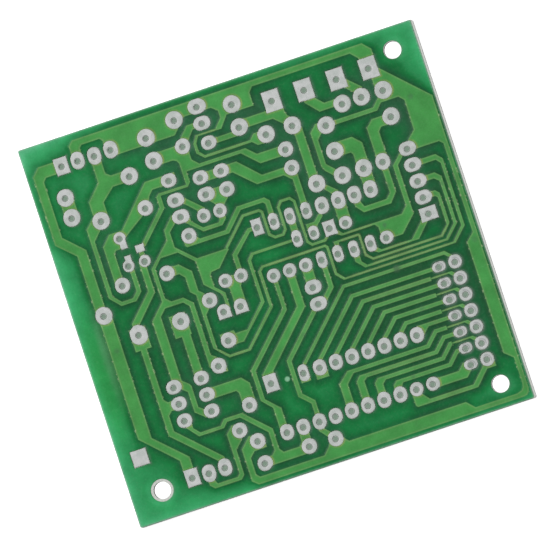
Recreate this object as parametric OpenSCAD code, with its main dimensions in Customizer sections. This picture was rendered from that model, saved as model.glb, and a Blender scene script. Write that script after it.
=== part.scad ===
// Bare single-sided circuit board: drilled laminate, etched copper, tinned pads
// and one solder mask film. The track side faces up and the underside rests at z = 0.
// Places on the board are counted in lead pitches from its front left corner.

/* [Grid] */
// Lead pitch that pads, tracks and holes are counted in
pitch = 2.54; // [2.5:0.01:2.8]

/* [Board] */
// Width of the board, in pitches
cols = 24.45; // [24.45:0.05:27]
// Depth of the board, in pitches
rows = 23.3; // [23.3:0.05:26]
// Thickness of the laminate
board_t = 1.6; // [0.8:0.1:3.2]

/* [Layers] */
// Thickness of the copper
copper_t = 0.07; // [0.035:0.005:0.14]
// Thickness of the solder mask film, on the flat and on a track's flank
mask_t = 0.03; // [0.02:0.005:0.05]
// Thickness of the tinning on bare copper
tin_t = 0.05; // [0.04:0.005:0.1]
// Gap between a pad and the solder mask round it
mask_gap = 0.07; // [0.04:0.01:0.1]

/* [Holes] */
// Diameter of a lead hole
lead_hole = 0.95; // [0.6:0.05:1.1]
// Diameter of a mounting hole
mount_hole = 2.6; // [2.2:0.1:3.2]

/* [Pads, in pitches] */
// Diameter of a large round pad, and length of a chip's pad
big_pad = 1; // [0.94:0.01:1.03]
// Diameter of a medium round pad
mid_pad = 0.88; // [0.84:0.01:0.92]
// Width of a chip's pad
pin_pad = 0.79; // [0.74:0.01:0.82]
// Width of a chip's pad that a track passes close by
slim_w = 0.58; // [0.56:0.01:0.62]
// Diameter of the smallest round pads
tiny_pad = 0.68; // [0.64:0.01:0.72]
// Length of a terminal's pad
terminal_l = 1.22; // [1.1:0.02:1.3]

/* [Bare laminate] */
// Width of the ring without mask round the front left mounting hole
bare_ring = 0.4; // [0.2:0.05:0.6]
// Width of the strip without mask along the right-hand edge
bare_edge = 0.25; // [0.1:0.05:0.4]

/* [Hidden] */
$fn = 48;
copper_z = board_t;
film_z = copper_z + copper_t;
board_r = 0.3;
// mounting holes: front left, front right, rear right
mounts = [[1.9, 1.72], [22.7, 1.4], [22.8, 21.94]];

// ---- Layout helpers: an outline is a list of [x, y] corners in pitches ----

// a pad is [x, y, width, height, whether its ends are round]
function dot(x, y, d) = [x, y, d, d, true];
function oval(x, y, w, h) = [x, y, w, h, true];
function square_pad(x, y, w, h) = [x, y, w, h, false];

// the board's usual pads
function big_dot(x, y) = dot(x, y, big_pad);
function mid_dot(x, y) = dot(x, y, mid_pad);
function small_dot(x, y) = dot(x, y, pin_pad);
function tiny_dot(x, y) = dot(x, y, tiny_pad);
function wide_pad(x, y) = oval(x, y, big_pad, pin_pad);
function tall_pad(x, y) = oval(x, y, pin_pad, big_pad);
function slim_pad(x, y) = oval(x, y, slim_w, big_pad - 0.03);
function short_oval(x, y) = oval(x, y, mid_pad + 0.02, pin_pad);
function first_pin(x, y) = square_pad(x, y, pin_pad, big_pad);
function terminal_pad(x, y) = square_pad(x, y, big_pad, terminal_l);

function unit(v) = v / norm(v);
function left_of(v) = [-v.y, v.x];

// corner b of a bent line, moved sideways by d so that both edges move by d
function mitred(a, b, c, d) =
    let (n1 = left_of(unit(b - a)), n2 = left_of(unit(c - b)))
    b + d * (n1 + n2) / (1 + n1 * n2);

// one side of a track along a route
function side(route, d) =
    let (last = len(route) - 1)
    [for (i = [0:last])
        i == 0 ? route[0] + d * left_of(unit(route[1] - route[0]))
        : i == last ? route[last] + d * left_of(unit(route[last] - route[last - 1]))
        : mitred(route[i - 1], route[i], route[i + 1], d)];

function reversed(list) = [for (i = [len(list) - 1:-1:0]) list[i]];

// a track of width w along a route of centre points
function track(route, w) = concat(side(route, w / 2), reversed(side(route, -w / 2)));

// twice the signed area of an outline, positive where its corners run anticlockwise
function turn_area(p) =
    let (n = len(p))
    [for (i = 0, s = 0; i <= n; s = s + (i < n ? cross(p[i], p[(i + 1) % n]) : 0), i = i + 1) s][n];

// an outline in millimetres, its corners anticlockwise and every edge moved outwards by g
function grown(outline, g) =
    let (p = pitch * (turn_area(outline) > 0 ? outline : reversed(outline)), n = len(p))
    [for (i = [0:n - 1]) mitred(p[(i + n - 1) % n], p[i], p[(i + 1) % n], -g)];

// ---- Places that more than one conductor uses ----

// holes are drilled a little to the front left of their pads
drill_off = [-0.03, -0.03];
// upper and lower row of the front chip
chip_x = 9.95;
chip_y = [2.64, 5.64];
// inner and outer column of the right-hand header, and its front row
header_x = [21.43, 22.42];
header_y = 3.02;
// rows of the rear chip
rear_chip_y = [11.59, 14.6];
// the five-way connector
plug_x = 21.83;
plug_y = 12.18;

function front_pin(k, row) = oval(chip_x + k, chip_y[row], pin_pad, big_pad - 0.09);
function header_in(n) = oval(header_x[0], header_y + n, pin_pad, pin_pad - 0.22);
function header_out(n) = small_dot(header_x[1], header_y + n);
function plug_pin(n) = wide_pad(plug_x, plug_y + n);

// ---- Conductors: [pads with a hole, pads without a hole, copper outlines] ----

ground_net = [
    [tall_pad(3.2, 21.64), tall_pad(5.24, 21.64), big_dot(7.44, 21.63),
        big_dot(9.34, 22.1), oval(10.85, 22.43, 1.04, 0.86), big_dot(12.85, 21.91),
        big_dot(14.23, 19.6), terminal_pad(21.14, 21.37), big_dot(21.55, 19.88),
        big_dot(17.74, 18.98), big_dot(17.74, 15.89), plug_pin(4), oval(19.05, 11.62, 0.78, 0.72),
        square_pad(16.05, 13.2, 0.7, 0.86), oval(8.62, 10.52, 0.78, 0.82), wide_pad(7.95, 16.6),
        small_dot(10.25, 16.21), wide_pad(9.77, 17.38), mid_dot(11.04, 17.28),
        mid_dot(7.34, 7.6), short_oval(4.43, 7.23), short_oval(6.13, 5.22),
        mid_dot(8.15, 2.7), mid_dot(12.54, 1.4), front_pin(2, 0),
        slim_pad(15.03, rear_chip_y[0]), wide_pad(14.04, 9.2)],
    [square_pad(8.62, 10.31, 0.78, 0.4), square_pad(7.5, 7.4, 0.3, 0.4)],
    [
        // rear rail, down to the last terminal
        [[2.95, 21.6], [2.95, 22.6], [3.25, 22.88], [21.2, 22.88], [21.65, 22.4], [21.65, 21.4],
            [20.75, 21.4], [20.75, 22.1], [20.35, 22.52], [14.3, 22.52], [14.05, 22.22],
            [14.05, 21.43], [12.38, 21.43], [11.82, 20.74], [11.55, 20.74], [11.5, 20.88],
            [11.95, 21.36], [11.95, 21.8], [11.6, 22.1], [9.95, 22.1], [9.1, 21.23],
            [5.3, 21.23], [4.95, 21.6], [4.95, 22.3], [4.8, 22.45], [3.7, 22.45], [3.55, 22.3],
            [3.55, 21.6]],
        [[11.7, 20.85], [10.25, 20.85], [9.97, 20.4], [9.97, 19.82], [10.37, 19.42], [13.28, 19.42],
            [13.58, 19.14], [14.2, 19.14], [14.2, 19.87], [13.5, 19.87], [13.22, 19.57],
            [10.43, 19.57], [10.15, 19.88], [10.15, 20.38], [10.38, 20.75], [11.7, 20.75]],
        // right-hand and front rails
        [[21.12, 21.1], [21.63, 21.27], [24.2, 18.68], [24.2, 0.7], [24.14, 0.45], [24, 0.3],
            [23.78, 0.25], [7.42, 0.25], [7.08, 0.55], [7.08, 2.5], [7.7, 3.12], [8.15, 3.12],
            [8.55, 2.8], [8.55, 2.2], [7.78, 2.18], [7.45, 1.86], [7.45, 0.86], [7.64, 0.67],
            [11.6, 0.67], [12, 1.08], [12.2, 1.4], [12.9, 1.4], [13.25, 1.02], [20.45, 1.02],
            [20.9, 0.55], [23.45, 0.55], [23.75, 0.64], [23.88, 0.8], [23.93, 1.05],
            [23.93, 2.6], [23.43, 3.05], [23.43, 9.87], [23.93, 10.33], [23.93, 15.8],
            [23.72, 16], [21.9, 16], [21.9, 16.5], [22.07, 16.68], [22.52, 17.1],
            [22.55, 18.93], [22.27, 19.22], [21.2, 19.22], [20.85, 18.84], [17.8, 18.84],
            [17.8, 19.1], [20.66, 19.1], [21.12, 19.55]],
        [[17.74, 19.25], [17.13, 19.25], [16.7, 18.83], [16.7, 16.75], [16.82, 16.47],
            [17.35, 15.93], [17.62, 16.2], [17.02, 16.82], [17.02, 18.3], [17.33, 18.62],
            [17.74, 18.62]],
        // from the five-way connector to the middle of the board
        [[21.3, 16.06], [20.7, 15.48], [20.7, 13.04], [20.32, 12.66], [16.7, 12.66],
            [16.4, 13], [16.1, 13], [16.16, 12.82], [16.6, 12.55], [18.6, 12.55],
            [18.77, 12.35], [18.77, 12], [18.9, 11.5], [20.02, 11.5], [21, 12.45],
            [21, 15.42], [21.5, 15.9]],
        track([[16, 13], [15.58, 12.6], [14.78, 12.6], [14.56, 12.85], [14.56, 15.35],
            [14.35, 15.6], [13.8, 15.6], [13.56, 15.3], [13.56, 13.95], [13.35, 13.7],
            [12.85, 13.7], [12.56, 13.95], [12.56, 15.35], [12.42, 15.49], [11.42, 15.49],
            [9.9, 13.97]], 0.15),
        [[10.04, 13.9], [9.17, 13], [8.65, 12.94], [8.55, 12.8], [8.55, 12.05], [9.05, 11.55],
            [9.05, 10.6], [8.6, 10.12], [8.23, 10.12], [8.23, 10.4], [8.85, 10.9], [8.85, 11.5],
            [7.97, 12.38], [7.95, 13.82], [7.12, 14.65], [6.05, 14.65], [5.57, 14.15],
            [5.57, 12.35], [5.87, 12.05], [6.6, 12.05], [7.1, 11.57], [7.1, 8.35],
            [7.78, 7.8], [7.78, 7.14], [7.3, 7.14], [6.8, 7.65], [6.8, 11.45], [6.5, 11.77],
            [5.4, 11.77], [5, 11.38], [5, 7.45], [5.38, 7.12], [5.45, 6.98], [5.45, 5.68],
            [5.75, 5.45], [6, 5.2], [5.72, 4.93], [5.13, 5.45], [5.13, 6.7], [4.83, 6.95],
            [4.42, 7.2], [4.42, 11.28], [5.33, 12.2], [5.33, 14.2], [6.7, 15.52],
            [6.75, 16.13], [7.45, 16.85], [7.95, 16.75], [7.9, 16.45], [7.5, 16.32],
            [7.05, 15.92], [7.05, 15], [8.1, 13.98], [9.95, 13.98]],
        [[7.95, 16.3], [8.45, 16.6], [8.45, 16.15], [9, 15.58], [9.95, 15.58], [10.05, 15.7],
            [10.05, 16], [10.45, 16], [10.45, 15.68], [10.12, 15.35], [8.95, 15.35]],
        [[10.1, 17.57], [10.9, 17.57], [11.1, 16.95], [10.92, 16.78], [10.6, 16.47],
            [10.2, 16.3], [10.1, 16.65], [9.86, 16.92], [9.7, 17.2]],
        // from the rear chip down to the front chip
        track([[15.05, 11.4], [15.05, 9.9], [14.35, 9.2]], 0.3),
        track([[13.9, 9.1], [11.35, 6.55], [11.35, 4.45], [11.96, 3.84], [11.96, 2.7]], 0.28),
        [[11.75, 2.4], [11.75, 2.1], [12.08, 1.7], [12.3, 1.35], [12.7, 1.5], [12.3, 1.94],
            [12.1, 2.15], [12.1, 2.4]],
    ],
];

left_rail_net = [
    [first_pin(2.21, 21.63), big_dot(1.83, 12.5), first_pin(3.83, 1.86)],
    [],
    [[[2.2, 22], [0.85, 22], [0.38, 21.52], [0.38, 17.3], [1.42, 16.3], [1.42, 12.6],
        [1.48, 12.4], [1.48, 4.97], [3.42, 3.03], [3.42, 1.9], [4.05, 1.9], [4.05, 3.08],
        [2.27, 4.82], [2.27, 12.4], [2.05, 12.6], [2.05, 16.5], [0.92, 17.62], [0.92, 21.05],
        [1.12, 21.27], [2.2, 21.27]]],
];

rear_left_link_net = [
    [big_dot(1.83, 19.79), big_dot(1.83, 18.55)],
    [],
    [[[1.45, 19.8], [2.27, 19.8], [2.27, 18.5], [1.45, 18.5]]],
];

left_loop_net = [
    [tall_pad(4.22, 21.6), big_dot(5.82, 19.81), big_dot(3.42, 17.83), tiny_dot(4.13, 14.82)],
    [square_pad(4.23, 15.13, 0.36, 0.56)],
    [[[3.93, 21.5], [3.93, 20], [3.05, 19.08], [3.05, 18.2], [2.42, 17.6], [2.42, 13.36],
        [3, 12.72], [3.93, 12.72], [4.38, 13.17], [4.38, 14.7], [4.1, 14.7], [4.1, 13.27],
        [3.78, 12.95], [3.1, 12.95], [2.68, 13.42], [2.68, 16.8], [3.2, 17.33], [3.9, 17.8],
        [3.9, 18.83], [4.7, 19.52], [5.8, 19.52], [5.8, 20.2], [4.78, 20.2], [4.52, 20.42],
        [4.52, 21.5]]],
];

left_diagonal_net = [
    [short_oval(7.94, 18.83), mid_dot(6.13, 17.73), tiny_dot(4.13, 16.52),
        mid_dot(3.43, 13.84)],
    [square_pad(4.23, 16.13, 0.38, 0.56)],
    [[[8.38, 19.2], [6.55, 19.2], [4.4, 16.93], [3.6, 16.93], [3.03, 16.33], [3.03, 13.9],
        [3.57, 13.9], [3.57, 15.75], [3.7, 15.9], [4.1, 15.9], [4.38, 16.4], [5.85, 17.36],
        [6.3, 17.75], [6.55, 18.3], [6.85, 18.62], [7.9, 18.62], [8.38, 18.83]]],
];

long_signal_net = [
    [wide_pad(10.84, 21.41), mid_dot(9.34, 20.48), big_dot(7.45, 20.22),
        mid_dot(15.04, 18.4), tiny_dot(5.13, 14.8), oval(3.44, 10.8, 1.02, 1.12),
        short_oval(4.43, 6.22), tall_pad(5.84, 1.83)],
    [square_pad(5.08, 15.6, 0.5, 0.42)],
    [
        [[10.8, 21.57], [9.92, 21.57], [9.4, 21.02], [9.2, 20.63], [7.5, 20.63], [7.5, 19.87],
            [8.52, 19.87], [8.72, 19.77], [8.82, 19.58], [8.82, 18.28], [7.12, 18.3],
            [6.92, 18.12], [6.92, 17.48], [5.3, 15.84], [5.2, 15.6], [5.45, 15.62],
            [7.2, 17.38], [7.2, 18.13], [8.88, 18.13], [9.1, 18.35], [9.1, 19], [12.45, 19],
            [13.37, 18.08], [15, 18.08], [15, 18.68], [13.35, 18.68], [12.8, 19.21],
            [9.95, 19.21], [9.6, 19.58], [9.6, 20.5], [10.2, 21.22], [10.8, 21.22]],
        [[4.95, 15.5], [5.22, 15.5], [5.22, 14.9], [4.95, 14.9]],
        [[4.74, 14.85], [4.74, 13.05], [3.24, 11.52], [3.24, 10.9], [3.65, 10.9], [3.65, 11.32],
            [5.13, 12.87], [5.13, 14.6]],
        [[2.95, 9.87], [3.93, 9.87], [3.93, 11.2], [2.95, 11.2]],
        [[3.25, 10], [3.25, 4.6], [5.57, 2.32], [5.6, 1.9], [6.1, 1.9], [5.98, 2.47],
            [3.65, 4.78], [3.65, 5.72], [3.88, 5.94], [4.4, 5.94], [4.4, 6.5], [3.83, 6.5],
            [3.63, 6.73], [3.63, 10]],
    ],
];

relay_feed_net = [
    [short_oval(10.86, 20.2), big_dot(12.85, 20.5), terminal_pad(15.16, 21.36),
        big_dot(15.85, 19.6), big_dot(16.14, 15.91), tall_pad(17.04, rear_chip_y[1]),
        oval(17.04, 13.2, 0.77, 0.72)],
    [],
    [
        [[10.86, 20.36], [12.8, 20.36], [12.8, 20.03], [10.86, 20.03]],
        [[12.85, 20.89], [14.9, 20.89], [14.9, 21.2], [15.67, 21.2], [15.67, 20.5],
            [15.76, 20.25], [16.2, 19.85], [16.35, 19.3], [16.35, 15.95], [15.8, 15.95],
            [15.8, 19.5], [15.35, 19.88], [14.87, 20.33], [12.85, 20.33]],
        [[16.6, 15.72], [17.22, 15.15], [17.22, 14.7], [16.82, 14.7], [16.82, 15.03], [16.4, 15.5]],
        [[16.68, 14.6], [17.4, 14.6], [17.4, 13.2], [16.68, 13.2]],
    ],
];

second_terminal_net = [
    [terminal_pad(17.15, 21.36), big_dot(19.03, 19.88)],
    [],
    [[[16.95, 20.9], [16.95, 20.6], [17.62, 19.85], [19, 19.85], [19, 20.27], [18.03, 20.27],
        [17.6, 20.72], [17.6, 20.9]]],
];

third_terminal_net = [
    [terminal_pad(19.15, 21.36), big_dot(20.22, 19.9)],
    [],
    [[[19.4, 21], [19.65, 21.22], [20.45, 20.45], [20.3, 19.95], [20, 20.15], [19.43, 20.73]]],
];

right_loop_net = [
    [big_dot(21.52, 18.27), oval(20.23, 15.91, 0.86, 0.93), tall_pad(18.03, rear_chip_y[1])],
    [],
    [
        [[21.5, 18.47], [20.38, 18.47], [19.93, 18.05], [19.93, 16], [20.57, 16], [20.57, 17.65],
            [20.78, 17.87], [21.5, 17.87]],
        [[20.04, 15.9], [20.04, 14.05], [19.74, 13.76], [18.4, 13.76], [18.27, 14.05],
            [18.2, 14.5], [17.87, 14.3], [17.87, 13.9], [18.25, 13.43], [19.93, 13.43],
            [20.42, 14], [20.42, 15.9]],
    ],
];

chip_supply_net = [
    [big_dot(17.74, 17.39), big_dot(19.04, 15.9), tall_pad(19.04, rear_chip_y[1])],
    [],
    [[[17.74, 17.86], [18.95, 17.86], [19.43, 17.36], [19.43, 14.8], [19.3, 14.6], [18.8, 14.6],
        [18.7, 14.8], [18.7, 16.85], [18.6, 17], [17.74, 17]]],
];

short_diagonal_net = [
    [wide_pad(7.95, 17.61), small_dot(9.25, 16.22)],
    [],
    [[[8.1, 17.65], [8.45, 17.62], [9.46, 16.65], [9.42, 16.3], [9, 16.3], [8.97, 16.63], [8.25, 17.35]]],
];

wide_diagonal_net = [
    [short_oval(9.75, 18.41), short_oval(11.04, 18.41), mid_dot(15.05, 17.26),
        slim_pad(15.06, rear_chip_y[1])],
    [],
    [[[9.8, 18.64], [9.8, 18.09], [11.65, 18.09], [12.8, 16.98], [14.45, 16.98], [14.87, 16.58],
        [14.87, 14.8], [15.25, 14.8], [15.25, 17], [15.1, 17.42], [13.25, 17.42], [12.05, 18.64]]],
];

upper_curve_net = [
    [mid_dot(8.05, 15.38), slim_pad(13.05, rear_chip_y[1])],
    [],
    [[[7.66, 15.3], [7.66, 14.87], [7.76, 14.77], [10.35, 14.77], [11.42, 15.86],
        [12.78, 15.86], [12.9, 15.73], [12.9, 14.8], [13.21, 14.8], [13.21, 15.86],
        [12.95, 16.12], [11.25, 16.12], [10.2, 15.02], [8.63, 15.02], [8.4, 15.25]]],
];

lower_curve_net = [
    [square_pad(12.03, rear_chip_y[1], 0.6, 0.95), small_dot(10.24, 12.2), small_dot(9.26, 12.2),
        oval(9.66, 10.52, 0.78, 0.82)],
    [square_pad(9.66, 10.31, 0.78, 0.4)],
    [
        [[12, 14.7], [11.45, 14.7], [10.12, 13.52], [10.12, 12.3], [10.4, 12.3], [10.4, 13.38],
            [11.53, 14.46], [12, 14.46]],
        [[9.3, 12.38], [10.2, 12.38], [10.2, 11.85], [10.04, 11.65], [10.04, 10.12],
            [9.7, 10.12], [9.36, 10.5], [9.36, 11.65], [9.2, 11.9]],
    ],
];

connector_outer_net = [
    [mid_dot(6.13, 13.7), mid_dot(8.04, 11.4), plug_pin(3)],
    [],
    [[[6.1, 13.98], [6.95, 13.98], [7.58, 13.36], [7.58, 12.15], [7.85, 11.9], [8.1, 11.3],
        [7.85, 10.95], [7.58, 10.65], [7.58, 8.57], [8.17, 8], [9.32, 8], [11.26, 9.95],
        [11.26, 12.08], [11.55, 12.36], [15.5, 12.36], [15.64, 12.2], [15.64, 10.57],
        [16, 10.15], [22.68, 10.15], [23.42, 10.92], [23.42, 14.75], [23.2, 15.02],
        [21.9, 15.02], [21.9, 15.35], [23.28, 15.35], [23.62, 14.98], [23.62, 10.86],
        [22.8, 10.05], [15.9, 10.05], [15.49, 10.5], [15.49, 12.15], [15.42, 12.23],
        [11.62, 12.23], [11.44, 12.05], [11.44, 9.87], [9.4, 7.86], [8.1, 7.86],
        [7.36, 8.65], [7.36, 11.93], [7.07, 12.23], [7.07, 13.13], [6.8, 13.42], [6.1, 13.42]]],
];

snake_feed_net = [
    [mid_dot(8.35, 8.83), slim_pad(14.04, 13.21), slim_pad(14.05, rear_chip_y[1])],
    [],
    [
        [[7.95, 8.83], [7.95, 9.3], [8.83, 9.3], [8.87, 9.1], [9.62, 9.1], [10.87, 10.38],
            [10.87, 12.9], [11.2, 13.27], [14, 13.27], [14, 13.12], [11.3, 13.12],
            [11.07, 12.85], [11.07, 10.3], [9.2, 8.48], [8.35, 8.48]],
        [[13.85, 13.3], [14.26, 13.3], [14.26, 14.5], [13.85, 14.5]],
    ],
];

chip_jumper_net = [
    [oval(15.08, 13.22, 0.6, 0.8), tall_pad(16.03, rear_chip_y[1])],
    [],
    [[[14.78, 13.25], [14.78, 13.84], [15.3, 13.84], [15.65, 14.17], [16, 14.4], [15.87, 14],
        [15.38, 13.53], [15.38, 13.25]]],
];

wide_bus_net = [
    [small_dot(13.04, rear_chip_y[0]), first_pin(9.95, 5.66)],
    [],
    [[[12.77, 11.5], [12.77, 9.45], [9.6, 6.28], [9.6, 5.8], [10.3, 5.8], [10.3, 6.3],
        [13.26, 9.3], [13.26, 11.5]]],
];

narrow_bus_net = [
    [small_dot(12.05, rear_chip_y[0]), front_pin(0, 0)],
    [],
    [[[11.93, 11.5], [11.93, 9.58], [9.04, 6.74], [9.04, 4.86], [9.6, 4.25], [9.6, 2.7],
        [10.07, 2.7], [10.07, 4.1], [9.31, 4.88], [9.31, 6.6], [12.18, 9.46], [12.18, 11.5]]],
];

resistor_link_net = [
    [small_dot(14.04, rear_chip_y[0]), wide_pad(14.05, 10.22)],
    [],
    [[[13.73, 11.5], [14.36, 11.5], [14.36, 10.3], [13.73, 10.3]]],
];

connector_inner_net = [
    [slim_pad(16.05, 11.62), plug_pin(1)],
    [],
    [
        [[15.98, 11.8], [16.02, 12.36], [16.25, 12.36], [16.3, 12.22], [16.2, 11.8]],
        track([[16.15, 12.3], [17.5, 12.3], [17.57, 12.22], [17.57, 11.02], [17.92, 10.69],
            [22.16, 10.69], [22.72, 11.25], [22.72, 11.4]], 0.12),
        [[22.62, 11.2], [22.82, 11.3], [22.82, 13.12], [22.6, 13.35], [21.9, 13.35],
            [21.9, 13.02], [22.5, 13.02], [22.62, 12.9]],
    ],
];

connector_middle_net = [
    [slim_pad(17.02, rear_chip_y[0]), plug_pin(2)],
    [],
    [[[16.87, 11.5], [16.87, 10.83], [17.32, 10.34], [22.42, 10.34], [23.23, 11.12],
        [23.23, 14.03], [22.9, 14.35], [21.9, 14.35], [21.9, 14.02], [22.75, 14.02],
        [23.03, 13.78], [23.03, 11.18], [22.34, 10.46], [17.48, 10.46], [17.22, 10.75],
        [17.22, 11.5]]],
];

connector_first_net = [
    [slim_pad(18.05, rear_chip_y[0]), square_pad(plug_x, plug_y, 1, 0.78)],
    [],
    [[[18.1, 11.5], [18.35, 11.25], [18.55, 11.05], [20.42, 11.05], [21.2, 11.83], [21.4, 12.1],
        [21.9, 12.1], [21.9, 11.9], [21.62, 11.75], [20.83, 10.93], [18.33, 10.93],
        [18.1, 11.12]]],
];

left_riser_net = [
    [big_dot(6.05, 10.78), short_oval(6.14, 7.23)],
    [],
    [
        [[5.42, 9.87], [6.42, 9.87], [6.42, 11.22], [5.42, 11.22]],
        [[5.8, 10], [6.34, 10], [6.34, 7.3], [5.8, 7.3]],
    ],
];

left_elbow_net = [
    [short_oval(6.15, 6.22), mid_dot(8.35, 4.84)],
    [],
    [[[6.2, 6.53], [8.37, 6.53], [8.77, 6.08], [8.77, 4.9], [7.97, 4.9], [7.97, 5.7],
        [7.85, 5.87], [6.2, 5.87]]],
];

front_snake_net = [
    [short_oval(4.43, 5.18), mid_dot(8.15, 1.33), mid_dot(10.94, 1.45), front_pin(1, 0)],
    [],
    [[[4.38, 5.1], [4.38, 4.73], [4.95, 4.03], [6.5, 4.03], [6.78, 4.32], [7.58, 4.32],
        [8.9, 2.98], [8.9, 1.87], [8.7, 1.65], [8.16, 1.62], [8.16, 1.07], [10.9, 1.07],
        [11.16, 1.5], [11.16, 2.5], [10.6, 2.5], [10.57, 1.82], [10.38, 1.62], [9.4, 1.62],
        [9.21, 1.86], [9.21, 3.12], [7.77, 4.55], [6.65, 4.55], [6.35, 4.23], [5.1, 4.23],
        [4.77, 4.6], [4.77, 5.1]]],
];

front_left_loop_net = [
    [tall_pad(4.84, 1.8), mid_dot(7.34, 3.61)],
    [],
    [[[4.65, 1.7], [4.65, 1.1], [4.9, 0.84], [6.55, 0.84], [6.78, 1.07], [6.8, 2.58],
        [7.3, 3.08], [7.4, 3.6], [7.2, 4.03], [6.95, 4.03], [6.52, 3.62], [6.52, 1.22],
        [6.36, 1.07], [5.15, 1.07], [5.05, 1.25], [5.05, 1.7]]],
];

front_link_net = [
    [small_dot(chip_x + 9, chip_y[0]), header_in(0)],
    [],
    [[[18.9, 2.88], [20.62, 2.88], [21, 3.26], [21.43, 3.2], [21.43, 2.8], [21.3, 2.66],
        [21, 2.35], [18.9, 2.35]]],
];

front_return_net = [
    [small_dot(chip_x + 8, chip_y[0]), header_out(0)],
    [],
    [[[17.6, 2.6], [17.6, 1.74], [17.7, 1.62], [21.42, 1.62], [22.25, 2.48], [22.8, 2.48],
        [22.8, 2.95], [22.25, 2.92], [21.2, 1.86], [18.52, 1.86], [18.2, 2.25], [18.1, 2.6]]],
];

// pads that no track reaches: one chip pin and the square mark in the front left corner
lone_pads_net = [[front_pin(3, 0)], [square_pad(1.25, 3.93, 0.94, 0.94)], []];

// Bus from the front chip's rear row: pin k runs off at 45 degrees and then straight
// to the header. Every other track passes between two pins to the outer column.
bus_w = 0.24;
neck_w = 0.09;
neck_from = 20.75;
neck_to = 21.8;
bus_pins = [2:9];

// a narrow stretch between two header pins, and its flare into the outer pad
function neck(y) = track([[neck_from - 0.1, y], [neck_to + 0.1, y]], neck_w);
function flare(y) = [[neck_to - 0.05, y + 0.045], [22.05, y + 0.045], [22.35, y - 0.25], [22.2, y - 0.4]];

function bus_y(k) = k == 2 ? 9.7 : 10.5 - k / 2;
function goes_out(k) = k % 2 == 0;

// the front chip's second and third pins keep square copper corners under the mask
function pin_corners(k) =
    k == 2 ? [[[11.65, 5.6], [12.23, 5.6], [12.23, 5.08], [11.65, 5.08]]]
    : k == 3 ? [[[12.59, 5.6], [13.33, 5.6], [13.33, 4.98], [12.59, 4.98]]] : [];

function bus_net(k) =
    let (
        y = bus_y(k),
        start = [9.9 + k, 5.85],
        bend = [start.x + y - start.y, y],
        pin = k == 2 ? slim_pad(chip_x + k, chip_y[1]) : front_pin(k, 1),
        out = goes_out(k),
        row = k == 2 ? 6 : out ? 7 - k / 2 : (15 - k) / 2
    )
    [
        [pin, out ? header_out(row) : header_in(row)],
        [],
        concat(
            pin_corners(k),
            k == 2 ? [track([start, bend, [21.97, y], [22.42, y - 0.45]], 0.2)]
            : k == 9 ? [[[19.1, 6.13], [21.3, 6.13], [21.3, 5.9], [19.76, 5.9], [19.3, 5.45], [19, 5.7]]]
            : out ? [track([start, bend, [neck_from, y]], bus_w), neck(y), flare(y)]
            : [track([start, bend, [21.3, y]], bus_w)]
        ),
    ];

// Bus from the front chip's front row, nested round one another:
// [pin, corner where the track turns off, row, first bend, second bend, end]
fan_pins = [4:7];
fan_out = [
    [[13.72, 14.21], [4.32, 4.17], [14.4, 14.73], 4.81, 19.36, [20.06, 5.5]],
    [[14.73, 15.19], [4.15, 4.05], [15, 15.4], 4.33, 19.72, [20.4, 5.01]],
    [[15.72, 16.19], [3.74, 3.54], [15.97, 16.4], 3.86, 19.98, [20.65, 4.53]],
    [[16.72, 17.2], [3.26, 3.1], [16.97, 17.33], 3.38, 20.26, [20.88, 4]],
];

function fan_net(k) =
    let (
        f = fan_out[k - fan_pins[0]],
        y = f[3],
        half = bus_w / 2,
        rise = f[5],
        out = goes_out(k),
        run = out ? rise : [21.3, rise.y]
    )
    [
        [front_pin(k, 0), out ? header_out(k == 4 ? 2 : 1) : header_in(k == 5 ? 2 : 1)],
        [],
        concat(
            [[[f[0][0], chip_y[0]], [f[0][0], f[1][0]], [f[2][0], y + half], [f[2][1], y + half],
                [f[2][1], y - half], [f[0][1], f[1][1]], [f[0][1], chip_y[0]]]],
            [track([[f[2][0], y], [f[4], y], rise, out ? [neck_from, rise.y] : [21.3, rise.y]], bus_w)],
            out ? [neck(rise.y), flare(rise.y)] : []
        ),
    ];

left_nets = [left_rail_net, rear_left_link_net, left_loop_net, left_diagonal_net, long_signal_net,
    left_riser_net, left_elbow_net];
rear_nets = [relay_feed_net, second_terminal_net, third_terminal_net, right_loop_net,
    chip_supply_net, short_diagonal_net, wide_diagonal_net];
middle_nets = [upper_curve_net, lower_curve_net, connector_outer_net, snake_feed_net,
    chip_jumper_net, wide_bus_net, narrow_bus_net, resistor_link_net, connector_inner_net,
    connector_middle_net, connector_first_net];
front_nets = [front_snake_net, front_left_loop_net, front_link_net, front_return_net,
    lone_pads_net];
bus_nets = concat([for (k = bus_pins) bus_net(k)], [for (k = fan_pins) fan_net(k)]);
all_nets = concat([ground_net], left_nets, rear_nets, middle_nets, front_nets, bus_nets);

// ---- Shapes that the nodes share ----

// puts the layout's front left corner on the board's front left corner
module on_board(z) translate([-cols * pitch / 2, -rows * pitch / 2, z]) children();

// a pad's outline with its edge moved out by g
module pad_shape(p, g) {
    w = pitch * p[2] + 2 * g;
    h = pitch * p[3] + 2 * g;
    d = min(w, h);
    translate(pitch * [p[0], p[1]])
        if (!p[4]) square([w, h], center = true);
        else if (w == h) circle(d = d);
        else {
            square([h < w ? w - h : w, w < h ? h - w : h], center = true);
            for (end = [-1, 1]) translate(end * [w - d, h - d] / 2) circle(d = d);
        }
}

module net_shape(net, g) {
    for (p = concat(net[0], net[1])) pad_shape(p, g);
    for (o = net[2]) polygon(grown(o, g));
}

module track_shapes(nets, g) {
    for (n = nets, o = n[2]) polygon(grown(o, g));
}

module pad_openings(nets) {
    for (n = nets, p = concat(n[0], n[1])) pad_shape(p, mask_gap);
}

module lead_holes(nets) {
    for (n = nets, p = n[0])
        translate(pitch * ([p[0], p[1]] + drill_off)) circle(d = lead_hole);
}

module mount_holes(d) {
    for (m = mounts) translate(pitch * m) circle(d = d);
}

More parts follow.
